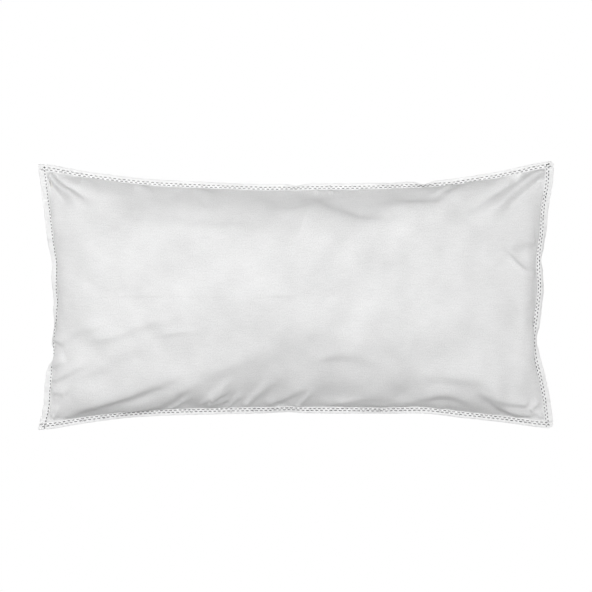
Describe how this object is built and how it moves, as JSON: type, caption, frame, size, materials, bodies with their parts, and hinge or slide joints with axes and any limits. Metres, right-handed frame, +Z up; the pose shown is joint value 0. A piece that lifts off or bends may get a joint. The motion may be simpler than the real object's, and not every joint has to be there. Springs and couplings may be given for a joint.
{
  "type": "bed pillow",
  "caption": "Oblong feather pillow in white cambric, crowned in the middle, with drawn-in bound edges and rows of contrast lockstitch.",
  "frame": {"origin": "middle of the flat patch that the pillow rests on, on the surface under it", "axes": "+X along the length towards the double-stitched right end, +Y across the width towards the rear seam, +Z up through the thickness"},
  "size_m": [0.7624, 0.4004, 0.158],
  "materials": {
    "cambric": "down-proof cotton cambric, calendered to a faint sheen",
    "binding_tape": "matt woven cotton tape",
    "sewing_thread": "two-ply spun polyester",
    "feathers_and_down": "soft matt feathers and down"
  },
  "bodies": {
    "root": {"top_panel": "cambric", "bottom_panel": "cambric", "feather_fill": "feathers_and_down", "rear_binding": "binding_tape", "front_binding": "binding_tape", "right_binding": "binding_tape", "left_binding": "binding_tape", "rear_inner_needle_thread": "sewing_thread", "rear_outer_needle_thread": "sewing_thread", "front_inner_needle_thread": "sewing_thread", "front_outer_needle_thread": "sewing_thread", "right_inner_needle_thread": "sewing_thread", "right_outer_needle_thread": "sewing_thread", "left_closing_needle_thread": "sewing_thread", "rear_inner_bobbin_thread": "sewing_thread", "rear_outer_bobbin_thread": "sewing_thread", "front_inner_bobbin_thread": "sewing_thread", "front_outer_bobbin_thread": "sewing_thread", "right_inner_bobbin_thread": "sewing_thread", "right_outer_bobbin_thread": "sewing_thread", "left_closing_bobbin_thread": "sewing_thread"}
  },
  "joints": []
}
